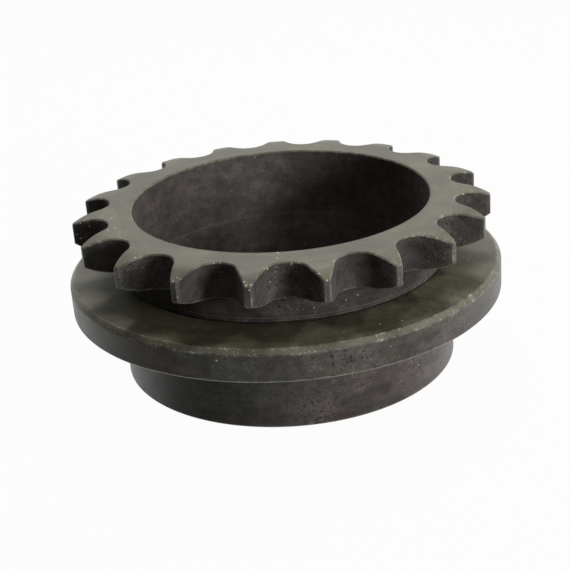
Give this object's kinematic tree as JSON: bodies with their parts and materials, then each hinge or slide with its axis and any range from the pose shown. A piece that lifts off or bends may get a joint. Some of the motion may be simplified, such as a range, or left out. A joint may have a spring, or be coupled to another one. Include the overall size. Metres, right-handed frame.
{
  "type": "chain sprocket",
  "caption": "Roller chain sprocket: a ring of teeth, a short neck, a wider round flange and a plain hub in one turned steel piece, round a large through bore.",
  "frame": {"origin": "middle of the bore, in the plane of the hub's end face, which is the part's lowest plane", "axes": "+Z along the bore, from the hub to the teeth; +Y through the middle of one tooth"},
  "size_m": [0.1294, 0.1294, 0.0501],
  "materials": {
    "steel": "turned and milled steel with a thin dark olive-grey oxide, matt, worn bright on some edges"
  },
  "bodies": {
    "root": {"chain_sprocket": "steel"}
  },
  "joints": []
}
